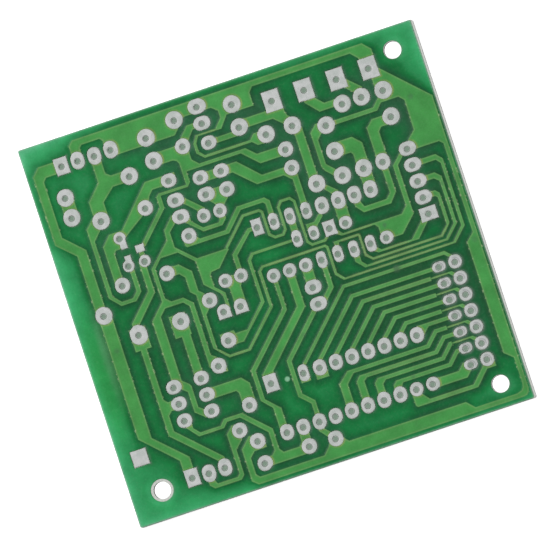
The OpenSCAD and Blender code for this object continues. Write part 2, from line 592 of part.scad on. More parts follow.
// the board's outline with small round corners, w wide
module board_shape(w) {
    d = rows * pitch;
    translate([0, board_r]) square([w, d - 2 * board_r]);
    translate([board_r, 0]) square([w - 2 * board_r, d]);
    for (x = [board_r, w - board_r], y = [board_r, d - board_r])
        translate([x, y]) circle(r = board_r);
}

// one conductor, with the holes of its pads
module copper(net) {
    color("darkolivegreen")
        on_board(copper_z)
            linear_extrude(copper_t)
                difference() {
                    net_shape(net, 0);
                    lead_holes([net]);
                }
}

// tin on the copper that the mask leaves open
module tinning(nets) {
    color("silver")
        on_board(film_z)
            linear_extrude(tin_t)
                difference() {
                    intersection() {
                        union() for (n = nets) net_shape(n, 0);
                        pad_openings(nets);
                    }
                    lead_holes(nets);
                }
}

// ---- Nodes ----

module laminate() {
    color("tan")
        on_board(0)
            linear_extrude(board_t)
                difference() {
                    board_shape(cols * pitch);
                    mount_holes(mount_hole);
                    lead_holes(all_nets);
                }
}

// one film that lies on the laminate and runs up and over the tracks
module solder_mask() {
    top_t = copper_t + mask_t;
    color("seagreen")
        on_board(copper_z)
            difference() {
                union() {
                    linear_extrude(mask_t) board_shape(cols * pitch - bare_edge);
                    linear_extrude(top_t) track_shapes(all_nets, mask_t);
                }
                linear_extrude(copper_t) track_shapes(all_nets, 0);
                translate([0, 0, -top_t])
                    linear_extrude(3 * top_t) {
                        pad_openings(all_nets);
                        mount_holes(mount_hole + 2 * mask_gap);
                        translate(pitch * mounts[0]) circle(d = mount_hole + 2 * bare_ring);
                    }
            }
}

module ground_copper() copper(ground_net);
module left_rail() copper(left_rail_net);
module rear_left_link() copper(rear_left_link_net);
module left_loop() copper(left_loop_net);
module left_diagonal() copper(left_diagonal_net);
module long_signal() copper(long_signal_net);
module left_riser() copper(left_riser_net);
module left_elbow() copper(left_elbow_net);
module relay_feed() copper(relay_feed_net);
module second_terminal_track() copper(second_terminal_net);
module third_terminal_track() copper(third_terminal_net);
module right_loop() copper(right_loop_net);
module chip_supply() copper(chip_supply_net);
module short_diagonal() copper(short_diagonal_net);
module wide_diagonal() copper(wide_diagonal_net);
module upper_curve() copper(upper_curve_net);
module lower_curve() copper(lower_curve_net);
module connector_outer_track() copper(connector_outer_net);
module snake_feed() copper(snake_feed_net);
module chip_jumper() copper(chip_jumper_net);
module wide_bus() copper(wide_bus_net);
module narrow_bus() copper(narrow_bus_net);
module resistor_link() copper(resistor_link_net);
module connector_inner_track() copper(connector_inner_net);
module connector_middle_track() copper(connector_middle_net);
module connector_first_track() copper(connector_first_net);
module front_snake() copper(front_snake_net);
module front_left_loop() copper(front_left_loop_net);
module front_link() copper(front_link_net);
module front_return() copper(front_return_net);
module lone_pads() copper(lone_pads_net);
module bus_track_1() copper(bus_net(2));
module bus_track_2() copper(bus_net(3));
module bus_track_3() copper(bus_net(4));
module bus_track_4() copper(bus_net(5));
module bus_track_5() copper(bus_net(6));
module bus_track_6() copper(bus_net(7));
module bus_track_7() copper(bus_net(8));
module bus_track_8() copper(bus_net(9));
module fan_track_1() copper(fan_net(4));
module fan_track_2() copper(fan_net(5));
module fan_track_3() copper(fan_net(6));
module fan_track_4() copper(fan_net(7));
module ground_tinning() tinning([ground_net]);
module left_tinning() tinning(left_nets);
module rear_tinning() tinning(rear_nets);
module middle_tinning() tinning(middle_nets);
module front_tinning() tinning(front_nets);
module bus_tinning() tinning(bus_nets);

laminate();
solder_mask();
ground_copper();
left_rail();
rear_left_link();
left_loop();
left_diagonal();
long_signal();
left_riser();
left_elbow();
relay_feed();
second_terminal_track();
third_terminal_track();
right_loop();
chip_supply();
short_diagonal();
wide_diagonal();
upper_curve();
lower_curve();
connector_outer_track();
snake_feed();
chip_jumper();
wide_bus();
narrow_bus();
resistor_link();
connector_inner_track();
connector_middle_track();
connector_first_track();
front_snake();
front_left_loop();
front_link();
front_return();
lone_pads();
bus_track_1();
bus_track_2();
bus_track_3();
bus_track_4();
bus_track_5();
bus_track_6();
bus_track_7();
bus_track_8();
fan_track_1();
fan_track_2();
fan_track_3();
fan_track_4();
ground_tinning();
left_tinning();
rear_tinning();
middle_tinning();
front_tinning();
bus_tinning();
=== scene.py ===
import math

import bpy
import numpy as np
from mathutils import Matrix, Vector
from mathutils.bvhtree import BVHTree
from mathutils.geometry import delaunay_2d_cdt


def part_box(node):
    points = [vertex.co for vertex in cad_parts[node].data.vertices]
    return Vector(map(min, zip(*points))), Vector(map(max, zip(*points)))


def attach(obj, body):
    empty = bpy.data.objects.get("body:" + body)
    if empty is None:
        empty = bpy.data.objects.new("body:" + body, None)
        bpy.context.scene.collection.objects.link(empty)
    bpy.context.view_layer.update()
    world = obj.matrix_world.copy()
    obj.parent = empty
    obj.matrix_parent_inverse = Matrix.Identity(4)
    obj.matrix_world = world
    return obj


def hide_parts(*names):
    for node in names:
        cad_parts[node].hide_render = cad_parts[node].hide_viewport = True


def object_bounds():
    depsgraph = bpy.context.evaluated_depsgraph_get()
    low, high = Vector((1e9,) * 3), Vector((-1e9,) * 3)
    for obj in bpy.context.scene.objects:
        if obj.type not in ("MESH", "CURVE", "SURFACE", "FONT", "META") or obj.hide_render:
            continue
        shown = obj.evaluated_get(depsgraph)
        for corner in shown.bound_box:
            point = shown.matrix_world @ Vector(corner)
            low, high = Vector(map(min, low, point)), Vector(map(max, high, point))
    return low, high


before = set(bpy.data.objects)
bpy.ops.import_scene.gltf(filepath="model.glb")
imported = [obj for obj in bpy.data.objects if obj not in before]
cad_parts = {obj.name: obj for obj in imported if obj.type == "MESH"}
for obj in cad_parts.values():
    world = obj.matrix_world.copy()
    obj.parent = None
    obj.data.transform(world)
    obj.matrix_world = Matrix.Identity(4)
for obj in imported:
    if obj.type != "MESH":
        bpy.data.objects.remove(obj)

mm = 0.001
pitch = 2.54 * mm  # lead pitch, which places on the board are counted in
mountPlaces = [(1.9, 1.72), (22.7, 1.4), (22.8, 21.94)]  # pitches, mounting holes
headerPlace = (20.9, 2, 9.7)  # pitches: the two-row header is right of x, between y and y
coveredHole = (10.92, 5.59, 0.95)  # pitches, pitches, mm: a hole that the film has filled
holeSpan = 1 * mm  # loops smaller than this are lead holes
openingSpan = 6 * mm  # loops of the film smaller than this are openings
touch = 0.01 * mm  # points nearer than this lie on an edge
waveUnit = 0.314  # m, divided by its scale this is how far apart a wave texture's bands lie

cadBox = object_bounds()
boardMin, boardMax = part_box("laminate")
corner = Vector((boardMin.x, boardMin.y))  # front left corner of the board
boardTop = boardMax.z
tinNodes = sorted(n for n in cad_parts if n.endswith("_tinning"))
copperNodes = sorted(set(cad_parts) - set(tinNodes) - {"laminate", "solder_mask"})
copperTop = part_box("ground_copper")[1].z
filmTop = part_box("solder_mask")[1].z
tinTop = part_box("ground_tinning")[1].z
print("frame read:", len(copperNodes), "conductors,", len(tinNodes), "groups of tinned pads")


def linear(hexColour):
    # sRGB hex to the linear colour that the shaders take
    parts = [int(hexColour[i:i + 2], 16) / 255 for i in (1, 3, 5)]
    return [c / 12.92 if c <= 0.04045 else ((c + 0.055) / 1.055) ** 2.4 for c in parts] + [1]


def place(x, y):
    # a point given in pitches from the front left corner, in metres
    return corner + Vector((x, y)) * pitch


def fromPlace(co, x, y):
    return np.linalg.norm(co - np.array(place(x, y)), axis=1)


def inHeader(co):
    # whether each point is among the pads of the two-row header
    left, front, rear = headerPlace
    low, high = place(left, front), place(left, rear)
    return (co[:, 0] > low.x) & (co[:, 1] > low.y) & (co[:, 1] < high.y)


def smooth(low, high, values):
    t = np.clip((values - low) / (high - low), 0, 1)
    return t * t * (3 - 2 * t)


def unevenness(points, scale, seed):
    # slow waves from -1 to 1 over the plane, each 0.7 to 1.6 times the scale long, in metres
    rng = np.random.default_rng(seed)
    waves = 7
    total = np.zeros(len(points))
    for _ in range(waves):
        angle = rng.uniform(0, 2 * math.pi)
        wave = 2 * math.pi / (scale * rng.uniform(0.7, 1.6))
        run = points[:, 0] * math.cos(angle) + points[:, 1] * math.sin(angle)
        total += np.sin(run * wave + rng.uniform(0, 6.28))
    return total / waves


def upperFaces(names):
    # corners (x, y) and triangles of all faces that look up, merged where they meet
    corners, triangles, count = [], [], 0
    for name in names:
        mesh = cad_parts[name].data
        mesh.calc_loop_triangles()
        co = np.empty(len(mesh.vertices) * 3, np.float32)
        mesh.vertices.foreach_get("co", co)
        co = co.reshape(-1, 3).astype(float)
        tri = np.empty(len(mesh.loop_triangles) * 3, np.int32)
        mesh.loop_triangles.foreach_get("vertices", tri)
        tri = tri.reshape(-1, 3)
        normal = np.cross(co[tri[:, 1]] - co[tri[:, 0]], co[tri[:, 2]] - co[tri[:, 0]])
        size = np.linalg.norm(normal, axis=1)
        up = (normal[:, 2] > 0.99 * size) & (size > 1e-13)  # level, and no sliver
        corners.append(co[:, :2])
        triangles.append(tri[up] + count)
        count += len(co)
    corners, triangles = np.concatenate(corners), np.concatenate(triangles)
    decimals = 7  # of a metre: corners that agree to these are one
    keys, index = np.unique(np.round(corners, decimals), axis=0, return_inverse=True)
    triangles = index.reshape(-1)[triangles]
    a, b, c = triangles.T
    return keys, triangles[(a != b) & (b != c) & (c != a)]


def borderOf(triangles):
    # directed edges that only one triangle has
    edges = set()
    for a, b, c in triangles.tolist():
        edges |= {(a, b), (b, c), (c, a)}
    return [(a, b) for a, b in edges if (b, a) not in edges]


def outlineLoops(corners, triangles):
    # closed loops round the faces, with the faces on their left
    after = {}
    for a, b in borderOf(triangles):
        after.setdefault(a, []).append(b)
    loops = []
    while after:
        start = next(iter(after))
        loop, at = [], start
        while at in after:
            loop.append(at)
            following = after[at].pop()
            if not after[at]:
                del after[at]
            at = following
            if at == start:
                break
        loops.append(corners[loop])
    return loops


def spanOf(loop):
    return (loop.max(0) - loop.min(0)).max()


def resampled(loop, step):
    # the loop's own corners, with its long edges divided
    out = []
    for a, b in zip(loop, np.roll(loop, -1, axis=0)):
        parts = max(1, math.ceil(np.linalg.norm(b - a) / step))
        out += [a + (b - a) * i / parts for i in range(parts)]
    return np.array(out)


def edgeTree(loops):
    # upright strips along the loops, whose nearest point gives the distance to the outline
    verts, quads = [], []
    for loop in loops:
        first, n = len(verts), len(loop)
        verts += [(x, y, -1) for x, y in loop] + [(x, y, 1) for x, y in loop]
        quads += [(first + i, first + (i + 1) % n, first + n + (i + 1) % n, first + n + i)
                  for i in range(n)]
    return BVHTree.FromPolygons(verts, quads)


def faceTree(corners, triangles):
    return BVHTree.FromPolygons([(x, y, 0) for x, y in corners], triangles.tolist())


def inside(tree, points):
    down = Vector((0, 0, -1))
    return np.array([tree.ray_cast(Vector((x, y, 1)), down)[0] is not None for x, y in points])


def nearest(tree, points):
    # distance to the outline, and the direction from it to the point
    distance, direction = np.empty(len(points)), np.zeros((len(points), 2))
    for i, (x, y) in enumerate(points):
        at, _, _, d = tree.find_nearest(Vector((x, y, 0)))
        distance[i] = d
        if d > 1e-7:  # on the outline itself there is no direction
            direction[i] = (x - at.x) / d, (y - at.y) / d
    return distance, direction


def rowAlong(loop, offset):
    # points beside each corner of a loop, to its right where offset is positive
    run = np.roll(loop, -1, axis=0) - np.roll(loop, 1, axis=0)
    run /= np.maximum(np.linalg.norm(run, axis=1), 1e-12)[:, None]
    return loop + offset * np.stack([run[:, 1], -run[:, 0]], axis=1)


def rowsAlong(loops, offsets):
    # the same on both sides of all loops, at each of the offsets in mm
    return np.concatenate([rowAlong(loop, side * offset * mm) for loop in loops
                           for offset in offsets for side in (1, -1)])


def hexGrid(low, high, step):
    rows = np.arange(low[1], high[1], step * math.sqrt(0.75))
    points = []
    for i, y in enumerate(rows):
        xs = np.arange(low[0] + (i % 2) * step / 2, high[0], step)
        points.append(np.stack([xs, np.full(len(xs), y)], axis=1))
    return np.concatenate(points)


def triangulated(loops, loose, within):
    # a fine plane mesh that keeps the loops as edges, limited to what lies within a face tree
    points, edges = [], []
    for loop in loops:
        first, n = len(points), len(loop)
        points += [Vector(p) for p in loop]
        edges += [(first + i, first + (i + 1) % n) for i in range(n)]
    points += [Vector(p) for p in loose]
    co, _, faces = delaunay_2d_cdt(points, edges, [], 0, 1e-8)[:3]  # joins points within 1e-8 m
    co, faces = np.array(co), np.array(faces)
    faces = faces[inside(within, co[faces].mean(1))]
    used, faces = np.unique(faces, return_inverse=True)
    return co[used], faces.reshape(-1, 3)


def slab(name, co, faces, top, bottom):
    # a closed solid over a plane mesh: its top follows the heights, its underside is flat
    rim = sorted(borderOf(faces))
    rimPoints = sorted({v for edge in rim for v in edge})
    below = {v: len(co) + i for i, v in enumerate(rimPoints)}
    local = {v: i for i, v in enumerate(rimPoints)}
    flat, _, under, source = delaunay_2d_cdt(
        [Vector(co[v]) for v in rimPoints], [(local[a], local[b]) for a, b in rim], [], 0, 1e-9)[:4]
    inner = faceTree(co, faces)
    centres = np.array(flat)[np.array(under)].mean(1)
    ids = [below[rimPoints[s[0]]] for s in source]
    underside = [[ids[v] for v in reversed(f)]
                 for f, keep in zip(under, inside(inner, centres)) if keep]
    walls = []
    for a, b in rim:
        walls += [[b, a, below[a]], [b, below[a], below[b]]]
    verts = [(x, y, z) for (x, y), z in zip(co, top)]
    verts += [(*co[v], bottom) for v in rimPoints]
    mesh = bpy.data.meshes.new(name)
    mesh.from_pydata(verts, [], faces.tolist() + walls + underside)
    mesh.validate()
    piece = bpy.data.objects.new(name, mesh)
    bpy.context.scene.collection.objects.link(piece)
    smoothFlags = np.zeros(len(mesh.polygons), bool)
    smoothFlags[:len(faces)] = True
    mesh.polygons.foreach_set("use_smooth", smoothFlags)
    return piece, rimPoints


def storeFields(piece, fields, rimPoints):
    # one number per vertex and field; the flat underside takes those of the rim above it
    for name, values in fields.items():
        layer = piece.data.attributes.new(name, "FLOAT", "POINT")
        every = np.concatenate([values, values[rimPoints]])
        layer.data.foreach_set("value", every.astype(np.float32))


def add(tree, kind, links=(), **settings):
    # one node with its settings; links gives each named or numbered socket a value or a source
    node = tree.nodes.new(kind)
    for key, value in settings.items():
        setattr(node, key, value)
    for socket, source in dict(links).items():
        if isinstance(source, bpy.types.NodeSocket):
            tree.links.new(source, node.inputs[socket])
        else:
            node.inputs[socket].default_value = source
    return node


def rampStops(node, stops):
    elements = node.color_ramp.elements
    while len(elements) > 1:
        elements.remove(elements[-1])
    for i, (position, colour) in enumerate(stops):
        element = elements[0] if i == 0 else elements.new(position)
        element.position = position
        element.color = linear(colour)


def newMaterial(name):
    # an empty material, its tree, and the place of each point on the object
    material = bpy.data.materials.new(name)
    material.use_nodes = True
    tree = material.node_tree
    tree.nodes.clear()
    return material, tree, add(tree, "ShaderNodeTexCoord").outputs["Object"]


def fieldsOf(tree, *names):
    # what storeFields has put on the mesh
    return {name: add(tree, "ShaderNodeAttribute", attribute_name=name).outputs["Fac"]
            for name in names}


def noiseOf(tree, where, size, detail=2):
    # soft noise with spots of the size, in mm
    return add(tree, "ShaderNodeTexNoise", {"Vector": where, "Scale": 1 / (size * mm),
                                            "Detail": detail}).outputs["Fac"]


def tinted(tree, colour, look, factors):
    # tints laid over a colour one after the other, each as strongly as its factor says
    for tint, factor in factors.items():
        colour = add(tree, "ShaderNodeMix", {0: factor, 6: colour, 7: linear(look[tint])},
                     data_type="RGBA").outputs[2]
    return colour


def nearMounts(tree, where, z, reach):
    # one close to the axis of a mounting hole at the height z, and zero elsewhere
    total = 0
    for x, y in mountPlaces:
        gap = add(tree, "ShaderNodeVectorMath", {0: where, 1: (*place(x, y), z)},
                  operation="DISTANCE")
        near = add(tree, "ShaderNodeMath", {0: gap.outputs["Value"], 1: reach * mm},
                   operation="LESS_THAN")
        total = add(tree, "ShaderNodeMath", {0: near.outputs[0], 1: total},
                    operation="ADD").outputs[0]
    return total


film = {
    "grid": 0.33,  # mm between the points of the flat film
    "edgeStep": 0.4,  # mm between points along a track's edge
    "ringStep": 0.3,  # mm between points round an opening
    "shadowRows": (0.1, 0.2),  # mm, rows of points beside a track's edge
    "haloRows": (0.12, 0.3),  # mm, rows of points round a pad's opening
    "clear": (0.08, 0.09),  # mm with no loose points beside a track's edge, and an opening's
    "slope": 0.18,  # mm, the film's run down a track's flank
    "lift": 0.005,  # mm between the film's underside and the laminate
    "waves": (0.002, 3),  # mm, height and length of its slow waves
    "dimple": 0.018,  # mm that it sinks over the covered hole
    "droop": (0.012, 0.01),  # mm that its edge is rounded down, at a pad and at the board's edge
    "lightReach": 2.4,  # mm that light spreads sideways inside the laminate
    "lightCell": 0.4,  # mm, the squares in which the open share is counted
    # glow against the open share: at a track's foot, and well away from it
    "footGlow": ([0.4, 0.6, 0.66, 0.72, 0.8, 0.9, 1], [0.02, 0.04, 0.09, 0.24, 0.35, 0.49, 0.66]),
    "farGlow": ([0.36, 0.46, 0.6, 0.66, 0.72, 0.8, 0.9, 1],
                [0.12, 0.24, 0.33, 0.36, 0.49, 0.6, 0.7, 0.82]),
    "spread": ([0.25, 0.4, 0.55, 0.85, 1.4], [0, 0.25, 0.35, 0.67, 1]),  # mm from a track
    "edgeGlow": ([0, 0.3, 0.7, 1.2, 2, 3.5], [0.26, 0.15, 0.12, 0.06, 0.03, 0]),  # mm from the edge
    "openingGlow": ([0.65, 1], [0.07, 0.245]),  # more beside an opening, against the open share
    "openingReach": (1.1, 0.3),  # mm from an opening where that ends, and where it is full
    # patches of painted light that add to the glow, and darker ones that take from it: x and y in
    # pitches, reach in mm, change of glow
    "glowPatches": [(3.5, 20.5, 13, 0.17), (0.4, 19, 7, 0.1), (21, 9.5, 12, -0.16),
                (15, 2, 7, 0.09), (1.8, 4.5, 6, 0.08)],
    # long patches at the left: x, y, half width and half length in pitches, strength
    "rubbed": (1.23, 10.2, 0.34, 3.2, 0.22),  # the film is rubbed thinner
    "yellowed": (0.65, 9, 0.9, 4.2, 0.32),  # and it is yellower
    # dark spots: x and y in pitches, size in mm, strength
    "spots": [(22.95, 19, 0.55, 0.5), (1.9, 10.3, 0.6, 0.4), (23.9, 9.9, 0.7, 0.35),
              (19.15, 12.35, 0.5, 0.6), (19.05, 9.7, 0.8, 0.7), (22, 10.7, 0.5, 0.3),
              (19.7, 7, 0.6, 0.45), (18, 3.4, 0.5, 0.3), (12.65, 7.75, 0.5, 0.4),
              (23.13, 13.6, 0.5, 0.4), (20.1, 14.5, 0.5, 0.4)],
    "crowdedShadeRange": (0.56, 0.4, 0.15),  # open share where the painted shade of crowded tracks begins and is full, strength
    "narrowTrack": (0.24, 0.14, 0.24),  # mm, half widths where that tint begins and is full, strength
    "thinSide": (0.97, -0.25),  # side on which the film ran thin beside the openings
    "thinWidth": 0.36,  # mm, the brown ring over the pad's own copper, full to 0.3 of that
    "thinRing": (0.2, 0.35),  # that ring's strength all round, and more on the thin side
    "haloWidth": 0.22,  # mm, the pale ring where it thins beside a pad
    "haloRing": (0.1, 0.6),  # its strength all round, and more on the thin side
    "haloTail": (2, 0.38),  # its faint outer part: times the width, strength; full to 0.4 widths
    "haloPatches": (0.6, 1.2),  # its unevenness, and the patches' size in mm
    "headerHalo": (1.7, 0.5),  # at the header: times the width, strength
    "overlap": 0.02,  # mm past a track's edge that the halo and the narrow tint reach
    "speckEdges": (0.75, 0.98),  # how squarely a track's edge faces left or right to get the specks of painted glint
    "look": {
        "overCopper": [(0, "#5a8b50"), (0.14, "#639c5a"), (0.32, "#549351"), (0.52, "#489149"),
                       (0.72, "#45934a"), (1, "#45934a")],
        "copperDepth": 0.6,  # mm from a track's edge to its plain middle
        "overLaminate": [(0, "#1b512e"), (0.06, "#1a5731"), (0.13, "#165d34"), (0.19, "#146435"),
                         (0.26, "#136a36"), (0.39, "#16763d"), (0.46, "#1e7c44"),
                         (0.52, "#25834b"), (0.66, "#2b8f54"), (0.72, "#2e9558"),
                         (0.79, "#349b5f"), (0.86, "#39a165"), (0.92, "#43a76e"), (1, "#56b380")],
        "edgeSoftness": 0.06,  # mm
        "crowdedShade": "#4f635c",  # painted shade on laminate shut in between many tracks
        "narrow": "#969b6c",  # tracks so narrow that the film is thin right across them
        "yellowed": "#289326",
        "rubbed": "#716e6b",
        "thin": "#a3975e",  # bare copper's own brown, where the film ends over a pad
        "speck": "#c4cfa6",  # where the film is thin over a track's edge, with a painted glint on edges that face left or right
        "halo": "#6a8074",  # milky where it thinned beside a pad
        "stain": "#4a6b50",
        "blister": "#93c8a4",  # milky film over the covered hole
        "rim": "#a3b5aa",  # painted highlight along the board's cut edge
        "frost": "#b4c4b4",  # pale dust in the film
        "speckSize": 0.5,  # mm
        "speckNoise": (0.6, 0.68),  # noise where a speck begins, and is full
        "speckBand": (0.13, 0.03),  # mm from a track's edge, likewise
        "blisterBand": (0.5, 0.28),  # share of the covered hole's width, likewise
        "blisterStrength": 0.75,
        "rimWidth": 0.26,  # mm
        "rimStrength": 0.58,
        "dustSize": 0.374,  # mm
        "dustNoise": (0.5, 0.74),
        "dustStrength": 0.025,
        "grain": 0.22,  # mm, the film's fine grain
        "blotch": 2.4,  # mm, its slow changes of thickness
        "blotchWeight": 2,  # times the grain's
        "toneNoise": (0.9, 2.1),  # sum of both, lowest and highest
        "tone": (0.82, 1.18),  # what the colour is multiplied by there
        "bumpStrength": 0.15,
        "bumpDepth": 0.01,  # mm
        "roughness": 0.42,
        "sheen": 0.17,
    },
}


def solderMaskMaterial(look):
    # Green epoxy film, curtain coated. Over copper it looks yellow green and over the laminate
    # dark, and lighter again where light comes up through the board near its edges.
    material, tree, where = newMaterial("solderMaskEpoxy")
    field = fieldsOf(tree, "copperDistance", "glow", "crowdedShade", "narrow", "yellowed", "rubbed",
                     "thin", "halo", "stain", "edgeRun", "rimDistance")
    grain, blotch, dust = [noiseOf(tree, where, look[name])
                           for name in ("grain", "blotch", "dustSize")]
    depth = add(tree, "ShaderNodeMapRange", {"Value": field["copperDistance"], "From Min": 0,
                                             "From Max": -look["copperDepth"]})
    overCopper = add(tree, "ShaderNodeValToRGB", {"Fac": depth.outputs["Result"]})
    rampStops(overCopper, look["overCopper"])
    overLaminate = add(tree, "ShaderNodeValToRGB", {"Fac": field["glow"]})
    rampStops(overLaminate, look["overLaminate"])
    side = add(tree, "ShaderNodeMapRange", {"Value": field["copperDistance"],
                                            "From Min": -look["edgeSoftness"],
                                            "From Max": look["edgeSoftness"]})
    plain = add(tree, "ShaderNodeMix", {0: side.outputs["Result"], 6: overCopper.outputs["Color"],
                                        7: overLaminate.outputs["Color"]}, data_type="RGBA")

    offEdge = add(tree, "ShaderNodeMath", {0: field["copperDistance"]}, operation="ABSOLUTE")
    onEdge = add(tree, "ShaderNodeMapRange", {
        "Value": offEdge.outputs[0], "From Min": look["speckBand"][0],
        "From Max": look["speckBand"][1]})
    # specks of painted glint along the edges of tracks, where the film is thin
    spot = add(tree, "ShaderNodeMapRange", {
        "Value": noiseOf(tree, where, look["speckSize"], detail=1),
        "From Min": look["speckNoise"][0], "From Max": look["speckNoise"][1]})
    speck = add(tree, "ShaderNodeMath", {0: spot.outputs["Result"], 1: onEdge.outputs["Result"]},
                operation="MULTIPLY")
    speck = add(tree, "ShaderNodeMath", {0: speck.outputs[0], 1: field["edgeRun"]},
                operation="MULTIPLY")
    x, y, across = coveredHole
    fromHole = add(tree, "ShaderNodeVectorMath", {0: where, 1: (*place(x, y), filmTop)},
                   operation="DISTANCE")
    blister = add(tree, "ShaderNodeMapRange", {
        "Value": fromHole.outputs["Value"], "From Min": look["blisterBand"][0] * across * mm,
        "From Max": look["blisterBand"][1] * across * mm, "To Max": look["blisterStrength"]})
    # painted highlight along the board's edge
    rim = add(tree, "ShaderNodeMapRange", {
        "Value": field["rimDistance"], "From Min": look["rimWidth"], "From Max": 0,
        "To Max": look["rimStrength"]})
    dusty = add(tree, "ShaderNodeMapRange", {
        "Value": dust, "From Min": look["dustNoise"][0], "From Max": look["dustNoise"][1],
        "To Max": look["dustStrength"]})
    colour = tinted(tree, plain.outputs[2], look, {
        "crowdedShade": field["crowdedShade"], "narrow": field["narrow"], "yellowed": field["yellowed"],
        "rubbed": field["rubbed"], "thin": field["thin"], "speck": speck.outputs[0],
        "halo": field["halo"], "stain": field["stain"], "blister": blister.outputs["Result"],
        "rim": rim.outputs["Result"], "frost": dusty.outputs["Result"]})

    cloudy = add(tree, "ShaderNodeMath", {0: blotch, 1: look["blotchWeight"], 2: grain},
                 operation="MULTIPLY_ADD")
    shade = add(tree, "ShaderNodeMapRange", {
        "Value": cloudy.outputs[0], "From Min": look["toneNoise"][0],
        "From Max": look["toneNoise"][1], "To Min": look["tone"][0], "To Max": look["tone"][1]})
    shaded = add(tree, "ShaderNodeMix", {0: 1, 6: colour, 7: shade.outputs["Result"]},
                 data_type="RGBA", blend_type="MULTIPLY")
    bump = add(tree, "ShaderNodeBump", {"Height": grain, "Strength": look["bumpStrength"],
                                        "Distance": look["bumpDepth"] * mm})
    shader = add(tree, "ShaderNodeBsdfPrincipled", {
        "Base Color": shaded.outputs[2], "Roughness": look["roughness"], "IOR": 1.5,
        "Specular IOR Level": look["sheen"], "Normal": bump.outputs["Normal"]})
    add(tree, "ShaderNodeOutputMaterial", {"Surface": shader.outputs["BSDF"]})
    return material


def openShare(co, copper, filmTree, sizes):
    # share of the surface round each point that lets light into the laminate, where a bell
    # weighs the closed squares by how near they are
    reach, cell = sizes["lightReach"] * mm, sizes["lightCell"] * mm
    axes = [np.arange(low + cell / 2, high, cell) for low, high in zip(boardMin[:2], boardMax[:2])]
    cells = np.stack(np.meshgrid(*axes, indexing="ij"), axis=-1).reshape(-1, 2)
    closed = (inside(copper, cells) | ~inside(filmTree, cells)).reshape(len(axes[0]), -1)
    bells = [np.exp(-((co[:, i:i + 1] - axis) / reach) ** 2 / 2) for i, axis in enumerate(axes)]
    return 1 - ((bells[0] @ closed) * bells[1]).sum(1) * cell ** 2 / (2 * math.pi * reach ** 2)


def spotsOver(co, spots):
    # how strongly round spots show at each point, each in full out to 0.3 of its size
    total = np.zeros(len(co))
    for x, y, size, strength in spots:
        away = fromPlace(co, x, y)
        total = np.maximum(total, strength * smooth(size * mm, 0.3 * size * mm, away))
    return total


def patchOver(co, patch):
    # how strongly a long patch shows at each point, fading from 0.2 to 1.3 of its half widths
    x, y, halfWidth, halfLength, strength = patch
    offset = (co - np.array(place(x, y))) / pitch / np.array([halfWidth, halfLength])
    return strength * smooth(1.3, 0.2, np.linalg.norm(offset, axis=1))


def filmPoints(sizes, tracks, openings, trackEdge, rimEdge, filmTree):
    # rows beside the tracks and round the openings, and an even field between them
    clearTrack, clearRim = sizes["clear"]
    rows = rowsAlong(tracks, sizes["shadowRows"])
    rows = rows[nearest(trackEdge, rows)[0] > clearTrack * mm]
    rings = rowsAlong([resampled(loop, sizes["ringStep"] * mm) for loop in openings],
                      sizes["haloRows"])
    field = hexGrid(boardMin, boardMax, sizes["grid"] * mm)
    field = field[nearest(trackEdge, field)[0] > sizes["shadowRows"][-1] * mm]
    points = np.concatenate([rows, rings, field])
    points = points[nearest(rimEdge, points)[0] > clearRim * mm]
    return points[inside(filmTree, points)]


def deepestNear(distance, faces):
    # how far inside the copper the mesh gets round each point, so half the width of a track
    deepest = distance.copy()
    for _ in range(3):  # steps over the mesh, which reach the middle of a narrow track
        around = deepest[faces].min(1)
        for i in range(3):
            np.minimum.at(deepest, faces[:, i], around)
    return deepest


def filmHeights(sizes, co, distance, toOpening, toBoard):
    # height of the film's face: down beside the tracks, and rounded off at its own edges
    top = boardTop + (filmTop - copperTop)
    top = top + (copperTop - boardTop) * (1 - smooth(0, sizes["slope"] * mm, distance))
    height, length = sizes["waves"]
    top += height * mm * unevenness(co, length * mm, seed=3)
    x, y, across = coveredHole
    top -= sizes["dimple"] * mm * smooth(across / 2 * mm, 0.2 * across * mm, fromPlace(co, x, y))
    for away, droop in zip((toOpening, toBoard), sizes["droop"]):
        top[away < touch] -= droop * mm
    return np.minimum(top, filmTop)


def filmHalo(sizes, co, offCopper, toOpening, thinSide):
    # how milky the film is beside the openings
    width = sizes["haloWidth"] * mm
    tail, tailStrength = sizes["haloTail"]
    halo = np.maximum(smooth(width, 0, toOpening),
                      tailStrength * smooth(tail * width, 0.4 * width, toOpening))
    allRound, more = sizes["haloRing"]
    halo *= (allRound + more * thinSide) * offCopper
    patchy, size = sizes["haloPatches"]
    halo *= 1 + patchy * unevenness(co, size * mm, seed=9)
    times, strength = sizes["headerHalo"]
    wide = strength * smooth(times * width, 0, toOpening) * offCopper
    return np.where(inHeader(co), np.maximum(halo, wide), halo)


def filmGlow(sizes, co, distance, toOpening, toBoard, share):
    # brightness of the laminate under the film, from 0 in tight gaps to 1 at an open edge
    foot, far, spread, edge, opening = [np.interp(at, *sizes[name]) for name, at in (
        ("footGlow", share), ("farGlow", share), ("spread", distance / mm),
        ("edgeGlow", toBoard / mm), ("openingGlow", share))]
    glow = foot + (far - foot) * spread + edge + patchOver(co, sizes["rubbed"])
    glow += opening * smooth(*sizes["openingReach"], toOpening / mm)
    # patches of painted light and shade added to the glow
    for x, y, reach, change in sizes["glowPatches"]:
        glow += change * np.exp(-(fromPlace(co, x, y) / (reach * mm)) ** 2)
    return np.clip(glow, 0, 1)


